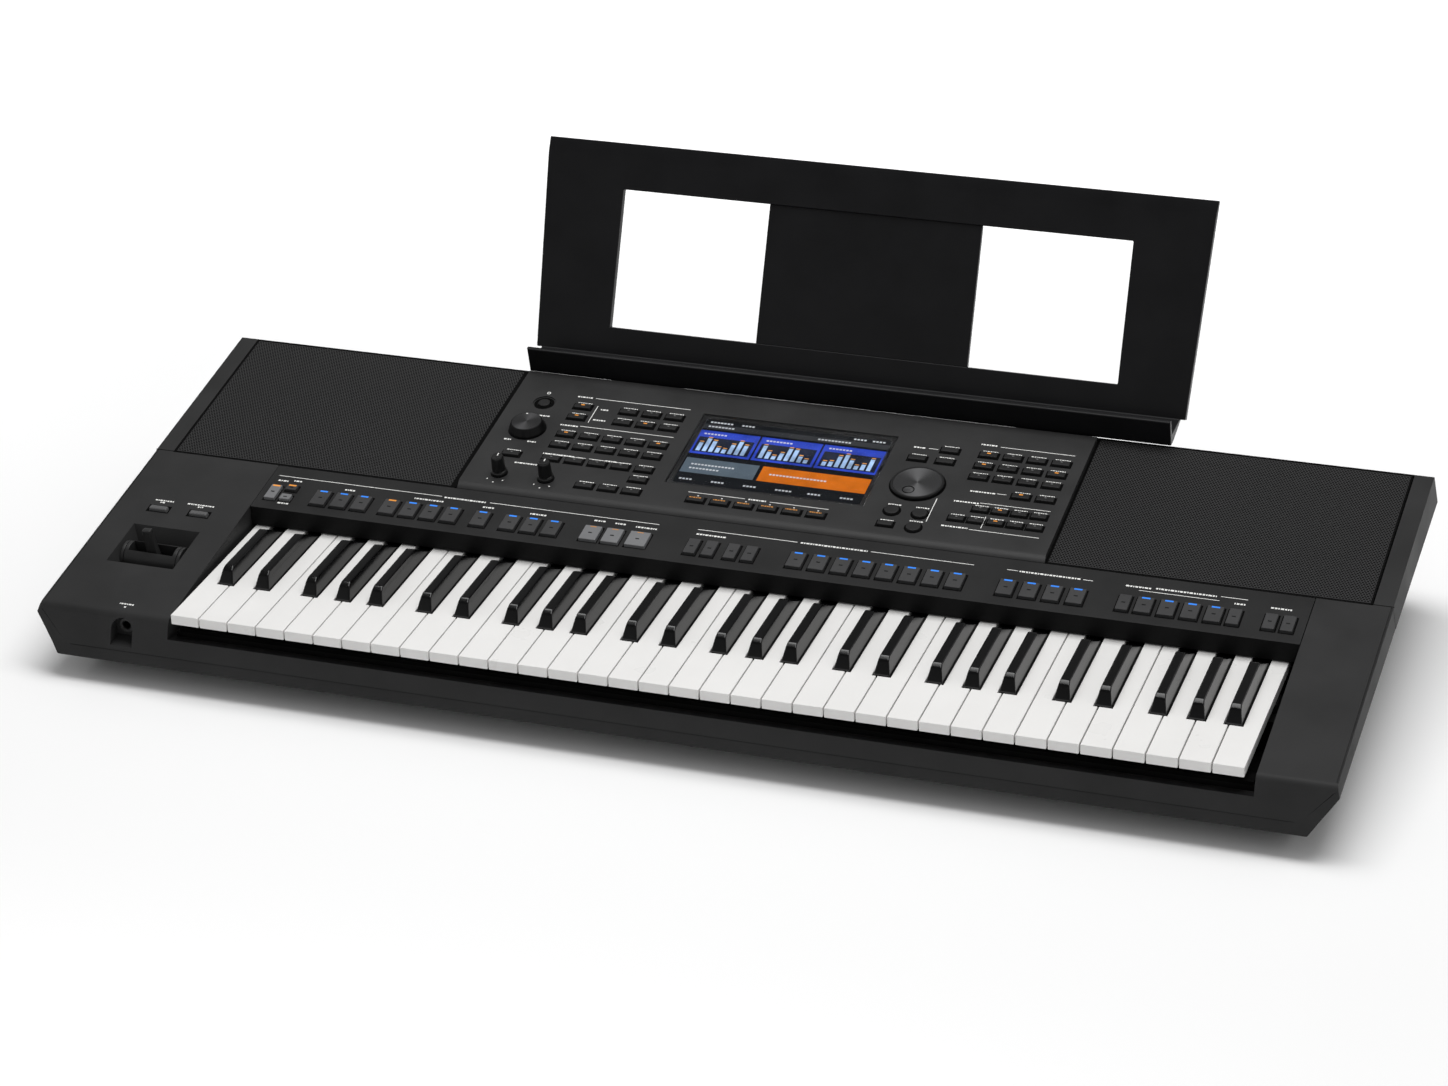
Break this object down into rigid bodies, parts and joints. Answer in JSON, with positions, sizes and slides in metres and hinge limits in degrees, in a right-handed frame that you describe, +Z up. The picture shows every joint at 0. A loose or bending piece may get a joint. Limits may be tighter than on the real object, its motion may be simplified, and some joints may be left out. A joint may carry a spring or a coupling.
{
  "type": "arranger keyboard",
  "caption": "Portable electronic keyboard with sprung piano keys, button rows, knobs, dial, joystick, colour display, speaker grilles and a plug-in music rest.",
  "frame": {"origin": "centre of the footprint, music rest included, on the table under the rubber feet", "axes": "+X to the player's right, +Y away from the player, +Z up"},
  "size_m": [1.0026, 0.4888, 0.2769],
  "materials": {
    "case_plastic": "fine-grained moulded black plastic",
    "panel_plastic": "satin black plastic",
    "speaker_grille": "black painted perforated sheet",
    "display_glass": "clear cover window",
    "display_screen": "lit colour display",
    "white_keys": "satin white moulded keys",
    "black_keys": "satin black moulded keys",
    "dark_buttons": "dark grey moulded button caps",
    "grey_buttons": "mid grey moulded button caps",
    "knobs": "satin black turned knobs",
    "rest_plastic": "satin black moulded plastic",
    "chassis_plastic": "grey moulded key bed",
    "plated_steel": "plated steel",
    "magnet_iron": "dark ferrite",
    "felt": "red felt",
    "rubber": "soft black rubber",
    "board": "green circuit board",
    "cone": "pressed paper cone",
    "socket_plastic": "black moulded socket"
  },
  "bodies": {
    "keyboard_body": {"upper_case": "case_plastic", "bottom_case": "case_plastic", "rear_case": "case_plastic", "button_panel": "panel_plastic", "control_panel": "panel_plastic", "left_speaker_grille": "speaker_grille", "right_speaker_grille": "speaker_grille", "display_window": "display_glass", "lcd_module": "display_screen", "key_chassis": "chassis_plastic", "key_pivot_rod": "plated_steel", "key_stop_felts": "felt", "key_contact_board": "board", "contact_rubbers": "rubber", "speaker_baskets": "plated_steel", "speaker_cones": "cone", "speaker_magnets": "magnet_iron", "main_board": "board", "button_board": "board", "panel_board": "board", "control_pots": "plated_steel", "rear_sockets": "socket_plastic", "phones_jack": "socket_plastic", "rubber_feet": "rubber", "case_screws": "plated_steel"},
    "key_c": {"key_c": "white_keys"},
    "key_d": {"key_d": "white_keys"},
    "key_e": {"key_e": "white_keys"},
    "key_f": {"key_f": "white_keys"},
    "key_g": {"key_g": "white_keys"},
    "key_a": {"key_a": "white_keys"},
    "key_b": {"key_b": "white_keys"},
    "key_c_sharp": {"key_c_sharp": "black_keys"},
    "key_d_sharp": {"key_d_sharp": "black_keys"},
    "key_f_sharp": {"key_f_sharp": "black_keys"},
    "key_g_sharp": {"key_g_sharp": "black_keys"},
    "key_a_sharp": {"key_a_sharp": "black_keys"},
    "accompaniment_buttons": {"accompaniment_buttons": "dark_buttons"},
    "style_section_buttons": {"style_section_buttons": "dark_buttons"},
    "start_buttons": {"start_buttons": "grey_buttons"},
    "player_buttons": {"player_buttons": "dark_buttons"},
    "memory_buttons": {"memory_buttons": "dark_buttons"},
    "setting_buttons": {"setting_buttons": "dark_buttons"},
    "right_bank_buttons": {"right_bank_buttons": "dark_buttons"},
    "function_buttons": {"function_buttons": "dark_buttons"},
    "style_select_buttons": {"style_select_buttons": "dark_buttons"},
    "display_buttons": {"display_buttons": "dark_buttons"},
    "menu_buttons": {"menu_buttons": "dark_buttons"},
    "voice_buttons": {"voice_buttons": "dark_buttons"},
    "part_buttons": {"part_buttons": "dark_buttons"},
    "joystick_buttons": {"joystick_buttons": "grey_buttons"},
    "power_button": {"power_button": "dark_buttons"},
    "volume_knob": {"volume_knob": "knobs"},
    "left_live_knob": {"left_live_knob": "knobs"},
    "right_live_knob": {"right_live_knob": "knobs"},
    "data_dial": {"data_dial": "knobs"},
    "joystick_cradle": {"joystick_cradle": "knobs"},
    "joystick_lever": {"joystick_lever": "knobs"},
    "music_rest": {"music_rest": "rest_plastic", "music_rest_panel": "rest_plastic"}
  },
  "joints": [
    {"name": "key_c_press", "type": "hinge", "parent": "keyboard_body", "child": "key_c", "pos_m": [0, -0.02048, 0.052], "axis": [1, 0, 0], "range_deg": [0, 2.7], "stiffness_Nm_per_rad": 5, "springref_deg": -6.88},
    {"name": "key_d_press", "type": "hinge", "parent": "keyboard_body", "child": "key_d", "pos_m": [0, -0.02048, 0.052], "axis": [1, 0, 0], "range_deg": [0, 2.7], "stiffness_Nm_per_rad": 5, "springref_deg": -6.88},
    {"name": "key_e_press", "type": "hinge", "parent": "keyboard_body", "child": "key_e", "pos_m": [0, -0.02048, 0.052], "axis": [1, 0, 0], "range_deg": [0, 2.7], "stiffness_Nm_per_rad": 5, "springref_deg": -6.88},
    {"name": "key_f_press", "type": "hinge", "parent": "keyboard_body", "child": "key_f", "pos_m": [0, -0.02048, 0.052], "axis": [1, 0, 0], "range_deg": [0, 2.7], "stiffness_Nm_per_rad": 5, "springref_deg": -6.88},
    {"name": "key_g_press", "type": "hinge", "parent": "keyboard_body", "child": "key_g", "pos_m": [0, -0.02048, 0.052], "axis": [1, 0, 0], "range_deg": [0, 2.7], "stiffness_Nm_per_rad": 5, "springref_deg": -6.88},
    {"name": "key_a_press", "type": "hinge", "parent": "keyboard_body", "child": "key_a", "pos_m": [0, -0.02048, 0.052], "axis": [1, 0, 0], "range_deg": [0, 2.7], "stiffness_Nm_per_rad": 5, "springref_deg": -6.88},
    {"name": "key_b_press", "type": "hinge", "parent": "keyboard_body", "child": "key_b", "pos_m": [0, -0.02048, 0.052], "axis": [1, 0, 0], "range_deg": [0, 2.7], "stiffness_Nm_per_rad": 5, "springref_deg": -6.88},
    {"name": "key_c_sharp_press", "type": "hinge", "parent": "keyboard_body", "child": "key_c_sharp", "pos_m": [0, -0.02048, 0.052], "axis": [1, 0, 0], "range_deg": [0, 2.7], "stiffness_Nm_per_rad": 5, "springref_deg": -6.88},
    {"name": "key_d_sharp_press", "type": "hinge", "parent": "keyboard_body", "child": "key_d_sharp", "pos_m": [0, -0.02048, 0.052], "axis": [1, 0, 0], "range_deg": [0, 2.7], "stiffness_Nm_per_rad": 5, "springref_deg": -6.88},
    {"name": "key_f_sharp_press", "type": "hinge", "parent": "keyboard_body", "child": "key_f_sharp", "pos_m": [0, -0.02048, 0.052], "axis": [1, 0, 0], "range_deg": [0, 2.7], "stiffness_Nm_per_rad": 5, "springref_deg": -6.88},
    {"name": "key_g_sharp_press", "type": "hinge", "parent": "keyboard_body", "child": "key_g_sharp", "pos_m": [0, -0.02048, 0.052], "axis": [1, 0, 0], "range_deg": [0, 2.7], "stiffness_Nm_per_rad": 5, "springref_deg": -6.88},
    {"name": "key_a_sharp_press", "type": "hinge", "parent": "keyboard_body", "child": "key_a_sharp", "pos_m": [0, -0.02048, 0.052], "axis": [1, 0, 0], "range_deg": [0, 2.7], "stiffness_Nm_per_rad": 5, "springref_deg": -6.88},
    {"name": "accompaniment_buttons_press", "type": "slide", "parent": "keyboard_body", "child": "accompaniment_buttons", "axis": [0, 0.1502, -0.9887], "range_m": [0, 0.0012], "stiffness_N_per_m": 500, "springref_m": -0.002},
    {"name": "style_section_buttons_press", "type": "slide", "parent": "keyboard_body", "child": "style_section_buttons", "axis": [0, 0.1502, -0.9887], "range_m": [0, 0.0012], "stiffness_N_per_m": 500, "springref_m": -0.002},
    {"name": "start_buttons_press", "type": "slide", "parent": "keyboard_body", "child": "start_buttons", "axis": [0, 0.1502, -0.9887], "range_m": [0, 0.0012], "stiffness_N_per_m": 500, "springref_m": -0.002},
    {"name": "player_buttons_press", "type": "slide", "parent": "keyboard_body", "child": "player_buttons", "axis": [0, 0.1502, -0.9887], "range_m": [0, 0.0012], "stiffness_N_per_m": 500, "springref_m": -0.002},
    {"name": "memory_buttons_press", "type": "slide", "parent": "keyboard_body", "child": "memory_buttons", "axis": [0, 0.1502, -0.9887], "range_m": [0, 0.0012], "stiffness_N_per_m": 500, "springref_m": -0.002},
    {"name": "setting_buttons_press", "type": "slide", "parent": "keyboard_body", "child": "setting_buttons", "axis": [0, 0.1502, -0.9887], "range_m": [0, 0.0012], "stiffness_N_per_m": 500, "springref_m": -0.002},
    {"name": "right_bank_buttons_press", "type": "slide", "parent": "keyboard_body", "child": "right_bank_buttons", "axis": [0, 0.1502, -0.9887], "range_m": [0, 0.0012], "stiffness_N_per_m": 500, "springref_m": -0.002},
    {"name": "function_buttons_press", "type": "slide", "parent": "keyboard_body", "child": "function_buttons", "axis": [0, 0.1502, -0.9887], "range_m": [0, 0.0012], "stiffness_N_per_m": 500, "springref_m": -0.002},
    {"name": "style_select_buttons_press", "type": "slide", "parent": "keyboard_body", "child": "style_select_buttons", "axis": [0, 0.1502, -0.9887], "range_m": [0, 0.0012], "stiffness_N_per_m": 500, "springref_m": -0.002},
    {"name": "display_buttons_press", "type": "slide", "parent": "keyboard_body", "child": "display_buttons", "axis": [0, 0.1502, -0.9887], "range_m": [0, 0.0012], "stiffness_N_per_m": 500, "springref_m": -0.002},
    {"name": "menu_buttons_press", "type": "slide", "parent": "keyboard_body", "child": "menu_buttons", "axis": [0, 0.1502, -0.9887], "range_m": [0, 0.0012], "stiffness_N_per_m": 500, "springref_m": -0.002},
    {"name": "voice_buttons_press", "type": "slide", "parent": "keyboard_body", "child": "voice_buttons", "axis": [0, 0.1502, -0.9887], "range_m": [0, 0.0012], "stiffness_N_per_m": 500, "springref_m": -0.002},
    {"name": "part_buttons_press", "type": "slide", "parent": "keyboard_body", "child": "part_buttons", "axis": [0, 0.1502, -0.9887], "range_m": [0, 0.0012], "stiffness_N_per_m": 500, "springref_m": -0.002},
    {"name": "joystick_buttons_press", "type": "slide", "parent": "keyboard_body", "child": "joystick_buttons", "axis": [0, 0.1502, -0.9887], "range_m": [0, 0.0012], "stiffness_N_per_m": 500, "springref_m": -0.002},
    {"name": "power_button_press", "type": "slide", "parent": "keyboard_body", "child": "power_button", "axis": [0, 0.1502, -0.9887], "range_m": [0, 0.0012], "stiffness_N_per_m": 500, "springref_m": -0.002},
    {"name": "volume_knob_turn", "type": "hinge", "parent": "keyboard_body", "child": "volume_knob", "pos_m": [-0.209, 0.05653, 0.10196], "axis": [0, -0.1502, 0.9887], "range_deg": [-140, 140]},
    {"name": "left_live_knob_turn", "type": "hinge", "parent": "keyboard_body", "child": "left_live_knob", "pos_m": [-0.209, -0.00517, 0.09258], "axis": [0, -0.1502, 0.9887], "range_deg": [-140, 140]},
    {"name": "right_live_knob_turn", "type": "hinge", "parent": "keyboard_body", "child": "right_live_knob", "pos_m": [-0.1698, -0.00517, 0.09258], "axis": [0, -0.1502, 0.9887], "range_deg": [-140, 140]},
    {"name": "data_dial_turn", "type": "hinge", "parent": "keyboard_body", "child": "data_dial", "pos_m": [0.118, 0.04605, 0.10036], "axis": [0, -0.1502, 0.9887], "continuous": true},
    {"name": "joystick_tilt", "type": "hinge", "parent": "keyboard_body", "child": "joystick_cradle", "pos_m": [-0.4435, -0.14461, 0.05369], "axis": [1, 0, 0], "range_deg": [-18, 18], "stiffness_Nm_per_rad": 0.3},
    {"name": "joystick_bend", "type": "hinge", "parent": "joystick_cradle", "child": "joystick_lever", "pos_m": [-0.4435, -0.14461, 0.05369], "axis": [0, 0.9887, 0.1502], "range_deg": [-9, 29], "stiffness_Nm_per_rad": 0.3},
    {"name": "music_rest_lift", "type": "slide", "parent": "keyboard_body", "child": "music_rest", "axis": [0, 0, 1], "range_m": [0, 0.06]}
  ]
}
